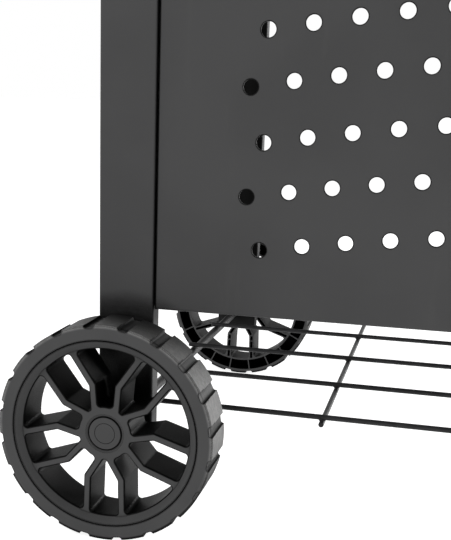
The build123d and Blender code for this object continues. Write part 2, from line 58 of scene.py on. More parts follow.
Colour = tuple[float, float, float]
Box = tuple[Vector, Vector]
Socket = bpy.types.NodeSocket
FRAME_BODY = "frame"
BEVEL_SAMPLES = 6
SHELTER_SAMPLES = 16
ALONG_FASTENERS = Vector((1.0, 0.0, 0.0))  # every screw and nut of the frame lies along X
SHANK_REACH = 3.6 * MM  # points further from a fastener's axis than this belong to its head
EVEN_LEAN = 0.001 * MM  # a nut's points are as far to one side of its middle as to the other


class Slot(Enum):
    """The names of the record's finishes for the pieces made here."""

    POWDER = "powder_coat"
    WIRE = "coated_wire"
    STEEL = "dark_steel"


class End(Enum):
    """Which end of the axle something is at, as a sign along Y."""

    FRONT = -1
    REAR = 1


# ---- Node trees ----
class Sheet:
    """A node tree, with short calls that add nodes and feed their inputs."""

    def __init__(self, tree: bpy.types.NodeTree) -> None:
        """Remembers the tree.

        Args:
            tree: The tree that the nodes go into.
        """
        self.tree = tree

    def add(
        self, kind: str, feeds: dict[str | int, object] | None = None, **values: object
    ) -> bpy.types.Node:
        """Adds a node, sets its properties and feeds its inputs.

        Args:
            kind: The node's type name.
            feeds: A socket or a plain value for each input, by the input's name or number.
            values: Properties of the node.

        Returns:
            The node.
        """
        node = self.tree.nodes.new(kind)
        for key, value in values.items():
            setattr(node, key, value)
        for key, value in (feeds or {}).items():
            self.feed(value, node.inputs[key])
        return node

    def feed(self, value: object, target: Socket) -> None:
        """Links an input to a socket, or sets it to a plain value.

        Args:
            value: The socket or the value.
            target: The input.
        """
        if isinstance(value, Socket):
            self.tree.links.new(value, target)
        else:
            target.default_value = value

    def math(self, how: str, *terms: Socket | float) -> Socket:
        """One step of arithmetic.

        Args:
            how: The operation, as a Math node names it.
            terms: Sockets or numbers.

        Returns:
            The result.
        """
        return self.add("ShaderNodeMath", dict(enumerate(terms)), operation=how).outputs["Value"]

    def vector(self, how: str, *terms: Socket | Vector) -> Socket:
        """One step of vector arithmetic that gives a vector.

        Args:
            how: The operation, as a Vector Math node names it.
            terms: Sockets or vectors.

        Returns:
            The result.
        """
        node = self.add("ShaderNodeVectorMath", dict(enumerate(terms)), operation=how)
        return node.outputs["Vector"]

    def scaled(self, vector: Socket, share: Socket) -> Socket:
        """A vector or a colour multiplied by one value."""
        feeds = {0: vector, "Scale": share}
        return self.add("ShaderNodeVectorMath", feeds, operation="SCALE").outputs["Vector"]


# ---- Shaders ----
class ShaderSheet(Sheet):
    """A material's node tree, with short calls for the patterns and masks that it mixes."""

    def __init__(self, name: str) -> None:
        """Starts an empty material with an output and a principled shader.

        Args:
            name: The material's name.
        """
        self.material = bpy.data.materials.new(name)
        self.material.use_nodes = True
        super().__init__(self.material.node_tree)
        self.tree.nodes.clear()
        self.shader = self.add("ShaderNodeBsdfPrincipled")
        self.add("ShaderNodeOutputMaterial", {"Surface": self.shader.outputs["BSDF"]})
        self.place = self.add("ShaderNodeTexCoord").outputs["Object"]

    def close(self, feeds: dict[str, object]) -> bpy.types.Material:
        """Feeds the principled shader.

        Args:
            feeds: A socket or a plain value for each input, by the input's name.

        Returns:
            The finished material.
        """
        for key, value in feeds.items():
            self.feed(value, self.shader.inputs[key])
        return self.material

    def shifted(self, offset: Sequence[float], scale: Sequence[float]) -> Socket:
        """Object coordinates moved and stretched.

        Args:
            offset: Added to the coordinates, in metres.
            scale: Multiplies the coordinates, axis by axis.

        Returns:
            The mapped coordinates.
        """
        feeds = {"Location": offset, "Scale": scale, "Vector": self.place}
        return self.add("ShaderNodeMapping", feeds).outputs["Vector"]

    def noise(
        self,
        grain: float,
        detail: float = 2.0,
        place: Socket | None = None,
        roughness: float = 0.5,
    ) -> Socket:
        """A noise pattern.

        Args:
            grain: The size of its grains, in metres.
            detail: How many finer layers it has.
            place: The coordinates it reads, or None for the object's own.
            roughness: How strong the finer layers are.

        Returns:
            Its factor, from 0 to 1.
        """
        feeds = {
            "Scale": 1.0 / grain,
            "Detail": detail,
            "Roughness": roughness,
            "Vector": place or self.place,
        }
        return self.add("ShaderNodeTexNoise", feeds).outputs["Fac"]

    def graded(
        self, value: Socket, low: float, high: float, to_low: float = 0.0, to_high: float = 1.0
    ) -> Socket:
        """Maps one range of a value to another and clamps it there.

        Args:
            value: The value.
            low: The start of the range that is read.
            high: The end of the range that is read.
            to_low: What the start becomes.
            to_high: What the end becomes.

        Returns:
            The mapped value.
        """
        feeds = {
            "Value": value,
            "From Min": low,
            "From Max": high,
            "To Min": to_low,
            "To Max": to_high,
        }
        node = self.add("ShaderNodeMapRange", feeds, interpolation_type="SMOOTHSTEP")
        return node.outputs["Result"]

    def tinted(
        self,
        share: Socket,
        below: Colour | Socket,
        above: Colour,
    ) -> Socket:
        """A colour between two others.

        Args:
            share: 0 gives the first colour and 1 the second.
            below: The first colour, or a socket that gives it.
            above: The second colour.

        Returns:
            The mixed colour.
        """
        first = (*below, 1.0) if isinstance(below, tuple) else below
        feeds = {0: share, 6: first, 7: (*above, 1.0)}
        return self.add("ShaderNodeMix", feeds, data_type="RGBA").outputs[2]

    def edges(
        self, radius: float, first: float = 0.995, full: float = 0.85
    ) -> tuple[Socket, Socket]:
        """Rounded normals, and where they leave the flat ones.

        Args:
            radius: How far from an edge the rounding reaches, in metres.
            first: The cosine of the tilt at which the mask starts.
            full: The cosine of the tilt at which it is 1.

        Returns:
            The rounded normal, and a mask that is 1 at an edge and 0 away from it.
        """
        bevel = self.add("ShaderNodeBevel", {"Radius": radius}, samples=BEVEL_SAMPLES)
        soft = bevel.outputs["Normal"]
        flat = self.add("ShaderNodeNewGeometry").outputs["Normal"]
        dot = self.add("ShaderNodeVectorMath", {0: soft, 1: flat}, operation="DOT_PRODUCT")
        return soft, self.graded(dot.outputs["Value"], first, full)

    def openness_for_shade_and_dust(
        self, reach: float, darkest: float, power: float = 1.0, alone: bool = False
    ) -> Socket:
        """How open a place is to its surroundings, by ambient occlusion: used to paint shade into
        colours, and to place dusting and painted light on a tread.

        Args:
            reach: How far it looks, in metres.
            darkest: The value of a place that is fully enclosed.
            power: Above 1 it darkens sooner.
            alone: Whether only the piece itself shelters it.

        Returns:
            A value from darkest to 1.
        """
        node = self.add(
            "ShaderNodeAmbientOcclusion",
            {"Distance": reach},
            samples=SHELTER_SAMPLES,
            only_local=alone,
        )
        bent = self.math("POWER", node.outputs["AO"], power)
        return self.graded(bent, 0.0, 1.0, darkest, 1.0)

    def within(self, low: Vector, high: Vector, soft: float = 0.3 * MM) -> Socket:
        """A mask that is 1 inside a box and 0 outside it.

        Args:
            low: The box's lowest corner.
            high: Its highest corner.
            soft: Half the width of the blend at its sides.

        Returns:
            The mask.
        """
        away = self.vector("ABSOLUTE", self.vector("SUBTRACT", self.place, (low + high) / 2))
        over = self.vector("SUBTRACT", away, (high - low) / 2)
        split = self.add("ShaderNodeSeparateXYZ", {0: over})
        across = self.math("MAXIMUM", split.outputs["X"], split.outputs["Y"])
        furthest = self.math("MAXIMUM", across, split.outputs["Z"])
        return self.graded(furthest, -soft, soft, 1.0, 0.0)

    def shaded(
        self, colour: Socket, *shares: Socket
    ) -> Socket:
        """A colour multiplied by one or more values.

        Args:
            colour: The colour.
            shares: The values.

        Returns:
            The darker colour.
        """
        for share in shares:
            colour = self.scaled(colour, share)
        return colour

    def bumped(
        self,
        height: Socket,
        depth: float,
        normal: Socket | None = None,
    ) -> Socket:
        """A normal tilted by a height pattern.

        Args:
            height: The pattern.
            depth: How deep it is, in metres.
            normal: The normal it starts from, or None for the surface's own.

        Returns:
            The new normal.
        """
        feeds = {"Strength": 1.0, "Distance": depth, "Height": height}
        if normal is not None:
            feeds["Normal"] = normal
        return self.add("ShaderNodeBump", feeds).outputs["Normal"]


@dataclass(frozen=True)
class PowderCoat:
    """Baked powder paint on sheet steel: fine orange peel, faint clouds, painted shade at its edges
    and in occluded places.
    """

    name: str = "charcoal_powder_coat"
    colour: Colour = (0.055, 0.055, 0.0555)
    cloud: Colour = (0.050, 0.050, 0.0505)
    rubbed: Colour = (0.084, 0.084, 0.085)
    dusty: Colour = (0.066, 0.0655, 0.065)
    # Near-black for the painted shade at edges and inside the legs' channels.
    shade_black: Colour = (0.004, 0.004, 0.004)
    roughness: float = 0.50
    peel_grain: float = 1.4 * MM
    peel_depth: float = 0.035 * MM
    speck_grain: float = 0.35 * MM
    cloud_grain: float = 120 * MM
    scuff_grain: float = 26 * MM
    edge_reach: float = 0.9 * MM
    patch_grain: float = 9 * MM
    streak_offset: tuple[float, float, float] = (0.3, 0.1, 0.7)
    streak_stretch: tuple[float, float, float] = (1.0, 1.0, 0.16)
    dusting: float = 0.22
    scuff_roughness: float = 0.06
    # Occlusion reaches and powers for the painted shade that darkens the coat in corners and near
    # other parts.
    wide_reach: float = 28 * MM
    wide_power: float = 8.0
    tight_reach: float = 7 * MM
    tight_power: float = 5.0
    darkest: float = 0.02
    specular: float = 0.06

    @classmethod
    def plain(cls, name: str, grey: float) -> "PowderCoat":
        """A coat of one even grey, with the same painted shade at its edges as the full one.

        Args:
            name: The material's name.
            grey: How bright it is.

        Returns:
            The coat.
        """
        even = (grey, grey, grey)
        return cls(name, colour=even, cloud=even, rubbed=even, dusty=even)

    def make(self, inside: Box | None = None) -> bpy.types.Material:
        """Builds the material.

        Args:
            inside: A box whose faces are painted near-black as shade, or None for no such place.

        Returns:
            The material.
        """
        sheet = ShaderSheet(self.name)
        normal, edge = sheet.edges(self.edge_reach)
        clouds = sheet.graded(sheet.noise(self.cloud_grain, 3.0), 0.35, 0.65)
        streaks = sheet.shifted(self.streak_offset, self.streak_stretch)
        scuffs = sheet.graded(sheet.noise(self.scuff_grain, 5.0, streaks, 0.65), 0.60, 0.72, 0, 1)
        specks = sheet.noise(self.speck_grain, 1.0)
        patchy = sheet.noise(self.patch_grain, 3.0)
        base = sheet.tinted(clouds, self.colour, self.cloud)
        dusted = sheet.tinted(sheet.math("MULTIPLY", scuffs, self.dusting), base, self.dusty)
        # Painted shade along edges: they darken towards near-black, patchily.
        thin = sheet.math("MULTIPLY", edge, sheet.graded(patchy, 0.3, 0.7, 0.85, 0.45))
        grained = sheet.tinted(sheet.graded(specks, 0.62, 0.75, 0.0, 0.12), dusted, self.rubbed)
        coloured = sheet.tinted(thin, grained, self.shade_black)
        # Painted shade: occlusion darkens the colour in corners, creases and near other parts.
        deep = sheet.openness_for_shade_and_dust(self.wide_reach, self.darkest, self.wide_power)
        tight = sheet.openness_for_shade_and_dust(self.tight_reach, self.darkest, self.tight_power)
        # Painted shade: the inside of a leg's channel turns near-black.
        if inside is not None:
            coloured = sheet.tinted(sheet.within(*inside), coloured, self.shade_black)
        rough = sheet.math("ADD", sheet.graded(specks, 0.3, 0.7, -0.04, 0.05), self.roughness)
        scuffed = sheet.math("MULTIPLY", scuffs, self.scuff_roughness)
        feeds = {
            "Base Color": sheet.shaded(coloured, deep, tight),
            "Roughness": sheet.math("ADD", scuffed, rough),
            "Specular IOR Level": self.specular,
            "Normal": sheet.bumped(sheet.noise(self.peel_grain, 2.0), self.peel_depth, normal),
        }
        return sheet.close(feeds)


@dataclass(frozen=True)
class MouldedPlastic:
    """Moulded plastic with a spark-eroded grain, edge wear that is also a painted highlight, a
    dusty tread that is also painted light, and painted shade.
    """

    name: str
    colour: Colour = (0.057, 0.057, 0.0575)
    shade: Colour = (0.052, 0.052, 0.0525)
    # Lighter edge colour: handling wear, and also a painted highlight.
    rubbed: Colour = (0.080, 0.080, 0.081)
    # Lighter tread colour: dusting, and painted light for the lit tread.
    dust_and_light: Colour = (0.185, 0.184, 0.182)
    # Reaches for where the tread is open to dusting and painted light, and for the painted shadow
    # under the frame.
    dust_reach: float = 70 * MM
    shadow_reach: float = 105 * MM
    # Near-black for the painted shade on the outer side's edges and round the windows.
    rim_shade: Colour = (0.004, 0.004, 0.004)
    roughness: float = 0.52
    grain: float = 0.8 * MM
    grain_depth: float = 0.05 * MM
    edge_reach: float = 0.7 * MM
    rim_reach: float = 2.2 * MM
    rim_cosines: tuple[float, float] = (0.998, 0.93)
    rim_share: float = 0.9
    shade_grain: float = 45 * MM
    wear_grain: float = 7 * MM
    scatter_grain: float = 5 * MM
    dust_power: float = 3.2
    shadow_power: float = 4.6
    dust_roughness: float = 0.12
    # Occlusion reaches and powers for painted shade: from the piece itself, from other parts, and
    # in tight creases.
    wide_reach: float = 60 * MM
    own_power: float = 3.0
    others_power: float = 0.4
    tight_reach: float = 5 * MM
    tight_power: float = 2.0
    darkest: float = 0.02
    tight_darkest: float = 0.03
    specular: float = 0.06
    centre: tuple[float, float] | None = None
    tread_radius: float = 100 * MM
    # Boxes where the painted shade of the edges and lips goes.
    outer_side: Box | None = None
    lips: Box | None = None
    hub_edge: tuple[float, float] = (19 * MM, 22 * MM)
    lip_blend: float = 0.04 * MM
    tread_start: float = 4 * MM
    tread_full: float = MM

    def make(self) -> bpy.types.Material:
        """Builds the material.

        Returns:
            The material.
        """
        sheet = ShaderSheet(self.name)
        normal, edge = sheet.edges(self.edge_reach)
        shades = sheet.graded(sheet.noise(self.shade_grain, 3.0), 0.35, 0.65)
        base = sheet.tinted(shades, self.colour, self.shade)
        patchy = sheet.graded(sheet.noise(self.wear_grain, 4.0), 0.4, 0.7, 0.05, 0.5)
        # Edges lighten: handling wear, and a painted highlight along them.
        worn_and_highlit = sheet.tinted(sheet.math("MULTIPLY", edge, patchy), base, self.rubbed)
        grain = sheet.noise(self.grain, 2.0)
        rough = sheet.math("ADD", sheet.graded(grain, 0.3, 0.7, -0.05, 0.05), self.roughness)
        if self.centre is not None:
            tread = self.tread_share(sheet)
            off_tread = sheet.graded(tread, 0.0, 1.0, 1.0, 0.0)
            # Tread: dusting with painted light, and painted shadow under the frame.
            worn_and_highlit = self.dusted(sheet, worn_and_highlit, tread, off_tread)
            worn_and_highlit = self.painted_rim_shade(sheet, worn_and_highlit, off_tread)
            rough = sheet.math("ADD", sheet.math("MULTIPLY", tread, self.dust_roughness), rough)
        # Painted shade: occlusion darkens the colour in hollows, near other parts and in creases.
        deep = sheet.openness_for_shade_and_dust(self.wide_reach, self.darkest, self.own_power, alone=True)
        near = sheet.openness_for_shade_and_dust(self.wide_reach, self.darkest, self.others_power)
        tight = sheet.openness_for_shade_and_dust(self.tight_reach, self.tight_darkest, self.tight_power)
        feeds = {
            "Base Color": sheet.shaded(worn_and_highlit, deep, near, tight),
            "Roughness": rough,
            "Specular IOR Level": self.specular,
            "Normal": sheet.bumped(grain, self.grain_depth, normal),
        }
        return sheet.close(feeds)

    def dusted(self, sheet: ShaderSheet, worn_and_highlit: Socket, tread: Socket, off_tread: Socket) -> Socket:
        """Lightens the open part of the tread, partly as dusting and partly as painted light, and
        paints shadow where the frame covers it.

        Args:
            sheet: The material's sheet.
            worn_and_highlit: The colour so far.
            tread: 1 on the tread and 0 further in.
            off_tread: The opposite.

        Returns:
            The new colour.
        """
        # Dusting and painted light on the open tread.
        patches = sheet.noise(self.scatter_grain, 5.0, None, 0.7)
        scattered = sheet.graded(patches, 0.25, 0.72, 0.55, 1.0)
        exposed = sheet.openness_for_shade_and_dust(self.dust_reach, 0.0, self.dust_power)
        open_tread = sheet.math("MULTIPLY", tread, exposed)
        worn_and_highlit = sheet.tinted(sheet.math("MULTIPLY", open_tread, scattered), worn_and_highlit, self.dust_and_light)
        # Painted shadow where the frame covers the tread.
        shadow = sheet.openness_for_shade_and_dust(self.shadow_reach, self.darkest, self.shadow_power)
        return sheet.shaded(worn_and_highlit, sheet.math("MAXIMUM", off_tread, shadow))

    def painted_rim_shade(self, sheet: ShaderSheet, worn_and_highlit: Socket, off_tread: Socket) -> Socket:
        """Painted shade: near-black edges on the wheel's outer side, and near-black lips round its
        windows.

        Args:
            sheet: The material's sheet.
            worn_and_highlit: The colour so far.
            off_tread: 0 on the tread and 1 further in.

        Returns:
            The new colour.
        """
        edge = sheet.edges(self.rim_reach, *self.rim_cosines)[1]
        rims = sheet.math("MULTIPLY", edge, self.rim_share)
        outside = sheet.math("MULTIPLY", rims, sheet.within(*self.outer_side))
        worn_and_highlit = sheet.tinted(outside, worn_and_highlit, self.rim_shade)
        past_hub = sheet.graded(self.from_axle(sheet), *self.hub_edge)
        spoked = sheet.math("MULTIPLY", off_tread, past_hub)
        sunk = sheet.math("MULTIPLY", spoked, sheet.within(*self.lips, self.lip_blend))
        return sheet.tinted(sunk, worn_and_highlit, self.rim_shade)

    def tread_share(self, sheet: ShaderSheet) -> Socket:
        """A mask that is 1 on the running surface of a wheel and 0 further in.

        Args:
            sheet: The material's sheet.

        Returns:
            The mask.
        """
        low = self.tread_radius - self.tread_start
        high = self.tread_radius - self.tread_full
        return sheet.graded(self.from_axle(sheet), low, high)

    def from_axle(self, sheet: ShaderSheet) -> Socket:
        """The distance from the axle's line.

        Args:
            sheet: The material's sheet.

        Returns:
            The distance, in metres.
        """
        x, z = self.centre
        flat = sheet.shifted((-x, 0.0, -z), (1.0, 0.0, 1.0))
        return sheet.add("ShaderNodeVectorMath", {0: flat}, operation="LENGTH").outputs["Value"]


@dataclass(frozen=True)
class CoatedWire:
    """Thick dip coating on drawn wire, drawn out along the wire with a few bare rubs."""

    name: str = "dark_dipped_wire"
    colour: Colour = (0.016, 0.016, 0.0165)
    thin: Colour = (0.024, 0.024, 0.025)
    roughness: float = 0.42
    sag_grain: float = 3.2 * MM
    sag_depth: float = 0.06 * MM
    fine_grain: float = 0.6 * MM
    specular: float = 0.12

    def make(self) -> bpy.types.Material:
        """Builds the material.

        Returns:
            The material.
        """
        sheet = ShaderSheet(self.name)
        runs = sheet.shifted((0.0, 0.0, 0.0), (0.25, 0.25, 1.0))
        sags = sheet.noise(self.sag_grain, 3.0, runs)
        base = sheet.tinted(sheet.graded(sags, 0.4, 0.66), self.colour, self.thin)
        fine = sheet.graded(sheet.noise(self.fine_grain, 2.0), 0.3, 0.7, -0.05, 0.06)
        feeds = {
            "Base Color": base,
            "Roughness": sheet.math("ADD", fine, self.roughness),
            "Specular IOR Level": self.specular,
            "Normal": sheet.bumped(sags, self.sag_depth),
        }
        return sheet.close(feeds)


@dataclass(frozen=True)
class BlackZinc:
    """Black-zinc plated steel with a faint passivation bloom, polished high spots on its edges that
    are also a painted highlight, and painted shade in creases.
    """

    name: str = "black_zinc_steel"
    colour: Colour = (0.016, 0.016, 0.017)
    bloom: Colour = (0.030, 0.029, 0.028)
    bright: Colour = (0.08, 0.08, 0.083)
    roughness: float = 0.46
    metallic: float = 0.15
    specular: float = 0.15
    edge_reach: float = 0.35 * MM
    bloom_grain: float = 4 * MM
    rub_grain: float = 1.5 * MM
    fine_grain: float = 0.5 * MM
    fine_depth: float = 0.01 * MM
    # Occlusion for the painted shade in creases: reach, darkest value and power.
    shade_occlusion: tuple[float, float, float] = (8 * MM, 0.1, 2.0)

    def make(self) -> bpy.types.Material:
        """Builds the material.

        Returns:
            The material.
        """
        sheet = ShaderSheet(self.name)
        normal, edge = sheet.edges(self.edge_reach)
        clouds = sheet.graded(sheet.noise(self.bloom_grain, 4.0), 0.42, 0.68)
        base = sheet.tinted(clouds, self.colour, self.bloom)
        rubs = sheet.graded(sheet.noise(self.rub_grain, 3.0), 0.45, 0.7, 0.0, 0.55)
        # Edges lighten: polishing wear, and a painted highlight along them.
        worn_and_highlit = sheet.tinted(sheet.math("MULTIPLY", edge, rubs), base, self.bright)
        fine = sheet.noise(self.fine_grain, 2.0)
        rough = sheet.math("ADD", sheet.graded(fine, 0.3, 0.7, -0.06, 0.08), self.roughness)
        feeds = {
            # Painted shade from occlusion darkens the colour.
            "Base Color": sheet.shaded(worn_and_highlit, sheet.openness_for_shade_and_dust(*self.shade_occlusion)),
            "Roughness": rough,
            "Metallic": self.metallic,
            "Specular IOR Level": self.specular,
            "Normal": sheet.bumped(fine, self.fine_depth, normal),
        }
        return sheet.close(feeds)


@dataclass(frozen=True)
class PaleFloor:
    """A plain pale studio floor that stays almost white in soft shade."""

    name: str = "pale_floor"
    colour: Colour = (0.56, 0.56, 0.56)
    dimple: Colour = (0.53, 0.53, 0.53)
    mottle_grain: float = 60 * MM
    roughness: float = 0.85
    specular: float = 0.1
    glow: float = 0.85

    def make(self) -> bpy.types.Material:
        """Builds the material.

        Returns:
            The material.
        """
        sheet = ShaderSheet(self.name)
        mottle = sheet.noise(self.mottle_grain, 3.0)
        feeds = {
            "Base Color": sheet.tinted(mottle, self.colour, self.dimple),
            "Roughness": self.roughness,
            "Specular IOR Level": self.specular,
            "Emission Color": (1.0, 1.0, 1.0, 1.0),
            "Emission Strength": self.glow,
        }
        return sheet.close(feeds)


# ---- Geometry Nodes ----
KINDS = {
    int: "NodeSocketInt",
    float: "NodeSocketFloat",
    tuple: "NodeSocketVector",
    bpy.types.Object: "NodeSocketObject",
}


class NodeSheet(Sheet):
    """A Geometry Nodes tree with named inputs, and the call that turns it into a plain mesh."""

    def __init__(self, name: str) -> None:
        """Starts an empty tree with a geometry input and output.

        Args:
            name: The tree's name.
        """
        super().__init__(bpy.data.node_groups.new(name, "GeometryNodeTree"))
        face = self.tree.interface
        face.new_socket("Geometry", in_out="INPUT", socket_type="NodeSocketGeometry")
        face.new_socket("Geometry", in_out="OUTPUT", socket_type="NodeSocketGeometry")
        self.values: dict[str, object] = {}
        self.source: bpy.types.Node | None = None

    def take(self, **values: object) -> None:
        """Adds named inputs, each of the kind that its value has.

        Args:
            values: What the modifier sets each input to.
        """
        for name, value in values.items():
            kind = KINDS[type(value)]
            socket = self.tree.interface.new_socket(name, in_out="INPUT", socket_type=kind)
            self.values[socket.identifier] = value

    def given(self, name: str) -> Socket:
        """The socket that gives a named input."""
        if self.source is None:
            self.source = self.add("NodeGroupInput")
        return self.source.outputs[name]

    def point(self, x: object, y: object, z: object) -> Socket:
        """A vector made of three sockets or numbers."""
        return self.add("ShaderNodeCombineXYZ", {0: x, 1: y, 2: z}).outputs["Vector"]

    def end(self, instances: Socket, finish: bpy.types.Material) -> None:
        """Closes the tree: makes the instances real, shades them smooth and paints them.

        Args:
            instances: The geometry to end with.
            finish: The material of the result.
        """
        real = self.add("GeometryNodeRealizeInstances", {0: instances})
        smooth = self.add("GeometryNodeSetShadeSmooth", {"Geometry": real.outputs[0]})
        feeds = {"Geometry": smooth.outputs["Geometry"], "Material": finish}
        painted = self.add("GeometryNodeSetMaterial", feeds)
        self.add("NodeGroupOutput", {0: painted.outputs["Geometry"]})

    def run(self, name: str, start: bpy.types.Mesh | None = None) -> bpy.types.Object:
        """Evaluates the tree and keeps the result as a plain mesh object.

        Args:
            name: The new object's name.
            start: The mesh that the tree starts from, or None for an empty one.

        Returns:
            The finished object.
        """
        carrier = linked(name + "_carrier", start or bpy.data.meshes.new(name + "_start"))
        modifier = carrier.modifiers.new("layout", "NODES")
        modifier.node_group = self.tree
        for identifier, value in self.values.items():
            modifier[identifier] = value
        ready = carrier.evaluated_get(bpy.context.evaluated_depsgraph_get())
        mesh = bpy.data.meshes.new_from_object(ready)
        mesh.name = name
        carrier.modifiers.remove(modifier)
        bpy.data.objects.remove(carrier)
        return linked(name, mesh)


def linked(name: str, mesh: bpy.types.Mesh) -> bpy.types.Object:
    """A new object in the scene.

    Args:
        name: Its name.
        mesh: Its mesh.

    Returns:
        The object.
    """
    made = bpy.data.objects.new(name, mesh)
    bpy.context.scene.collection.objects.link(made)
    return made


def aboard(piece: bpy.types.Object, slot: Slot, *nodes: str) -> None:
    """Puts a piece on the frame's body.

    Args:
        piece: The piece.
        slot: Not used.
        nodes: CAD nodes that it stands for.
    """
    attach(piece, FRAME_BODY)
    if nodes:
        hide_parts(*nodes)


def dressed(node: str, finish: bpy.types.Material) -> None:
    """Gives a CAD node its material.

    Args:
        node: The node's name.
        finish: The material.
    """
    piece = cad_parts[node]
    piece.data.materials.clear()
    piece.data.materials.append(finish)


def turned(profile: Iterable[tuple[float, float]], sides: int, six: Callable) -> bmesh.types.BMesh:
    """A closed lathe shape round Z.

    Args:
        profile: Radius and height of each ring, from the first pole to the last.
        sides: How many points each ring has.
        six: Gives a ring's radius at an angle, from its number, its radius and the angle.

    Returns:
        The shape, with its faces outwards.
    """
    work = bmesh.new()
    rings = []
    for number, (radius, height) in enumerate(profile):
        if radius == 0.0:
            rings.append([work.verts.new((0.0, 0.0, height))])
            continue
        ring = []
        for step in range(sides):
            angle = 2 * math.pi * step / sides
            reach = six(number, radius, angle)
            ring.append(work.verts.new((reach * math.cos(angle), reach * math.sin(angle), height)))
        rings.append(ring)
    for below, above in zip(rings, rings[1:]):
        for step in range(sides):
            after = (step + 1) % sides
            corners = [below[step % len(below)], below[after % len(below)]]
            corners += [above[after % len(above)], above[step % len(above)]]
            unique = list(dict.fromkeys(corners))
            if len(unique) > 2:
                work.faces.new(unique)
    bmesh.ops.recalc_face_normals(work, faces=work.faces)
    return work


def hexagon(radius: float, angle: float) -> float:
    """How far a hexagon's edge is at an angle, from its distance across flats over two."""
    sixth = math.pi / 3
    return radius / math.cos((angle + sixth / 2) % sixth - sixth / 2)


def kept_mesh(work: bmesh.types.BMesh, name: str) -> bpy.types.Mesh:
    """Turns a working shape into a mesh and frees it.

    Args:
        work: The shape.
        name: The mesh's name.

    Returns:
        The mesh.
    """
    mesh = bpy.data.meshes.new(name)
    work.to_mesh(mesh)
    work.free()
    return mesh


@dataclass(frozen=True)
class Seat:
    """Where one fastener of a CAD node is: its head end, and the way that it points."""

    place: Vector
    outward: Vector


def seats_of(node: str) -> list[Seat]:
    """Finds every separate solid of a node of fasteners.

    Args:
        node: The CAD node.

    Returns:
        One seat for each solid. A screw's is the top of its head and points out of it, and a
        nut's is its middle and points along its bore.
    """
    work = bmesh.new()
    work.from_mesh(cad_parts[node].data)
    bmesh.ops.remove_doubles(work, verts=work.verts, dist=0.02 * MM)
    left = set(work.verts)
    found = []
    while left:
        group = [left.pop()]
        for vert in group:
            for edge in vert.link_edges:
                other = edge.other_vert(vert)
                if other in left:
                    left.remove(other)
                    group.append(other)
        found.append(seat_from([vert.co.copy() for vert in group]))
    work.free()
    return sorted(found, key=lambda seat: tuple(round(v, 4) for v in seat.place))


def seat_from(points: Sequence[Vector]) -> Seat:
    """Reads a fastener's seat from its points.

    Args:
        points: Its vertices.

    Returns:
        The seat: a screw's head lies to one side of its middle, and a nut is even.
    """
    low = Vector([min(point[i] for point in points) for i in range(3)])
    high = Vector([max(point[i] for point in points) for i in range(3)])
    middle = (low + high) / 2
    lean = 0.0
    for point in points:
        off = point - middle
        if math.hypot(off.y, off.z) > SHANK_REACH:
            lean += off.x
    if abs(lean) < EVEN_LEAN:
        return Seat(middle, ALONG_FASTENERS)
    outward = ALONG_FASTENERS if lean > 0 else -ALONG_FASTENERS
    return Seat(middle + outward * (high.x - low.x) / 2, outward)


class Copies:
    """Sets copies of one shape on points that each have a direction."""

    def __init__(self, shape: bpy.types.Mesh, finish: bpy.types.Material) -> None:
        """Remembers the shape.

        Args:
            shape: The mesh to copy, its top at the origin and pointing along Z.
            finish: Its material.
        """
        self.shape = shape
        self.finish = finish

    def lay(self, name: str, seats: Sequence[Seat]) -> bpy.types.Object:
        """Lays the copies out.

        Args:
            name: The finished piece's name.
            seats: Where each copy goes.

        Returns:
            The piece.
        """
        start = bpy.data.meshes.new(name + "_seats")
        start.from_pydata([tuple(seat.place) for seat in seats], [], [])
        attribute = start.attributes.new("outward", "FLOAT_VECTOR", "POINT")
        for number, seat in enumerate(seats):
            attribute.data[number].vector = seat.outward
        pattern = linked(name + "_pattern", self.shape)
        sheet = NodeSheet(name + "_layout")
        sheet.take(pattern=pattern, size=1.0, seed=7)
        info = sheet.add("GeometryNodeObjectInfo", {"Object": sheet.given("pattern")})
        named = sheet.add(
            "GeometryNodeInputNamedAttribute", {"Name": "outward"}, data_type="FLOAT_VECTOR"
        )
        feeds = {2: 0.0, 3: math.pi / 3, "Seed": sheet.given("seed")}
        spin = sheet.add("FunctionNodeRandomValue", feeds)
        feeds = {"Axis": (0.0, 0.0, 1.0), "Angle": spin.outputs[1]}
        turn = sheet.add("FunctionNodeAxisAngleToRotation", feeds)
        feeds = {"Rotation": turn.outputs["Rotation"], "Vector": named.outputs["Attribute"]}
        aim = sheet.add("FunctionNodeAlignRotationToVector", feeds, axis="Z")
        feeds = {
            "Points": sheet.given("Geometry"),
            "Instance": info.outputs["Geometry"],
            "Rotation": aim.outputs["Rotation"],
            "Scale": sheet.given("size"),
        }
        put = sheet.add("GeometryNodeInstanceOnPoints", feeds)
        sheet.end(put.outputs["Instances"], self.finish)
        made = sheet.run(name, start)
        bpy.data.objects.remove(pattern)
        return made


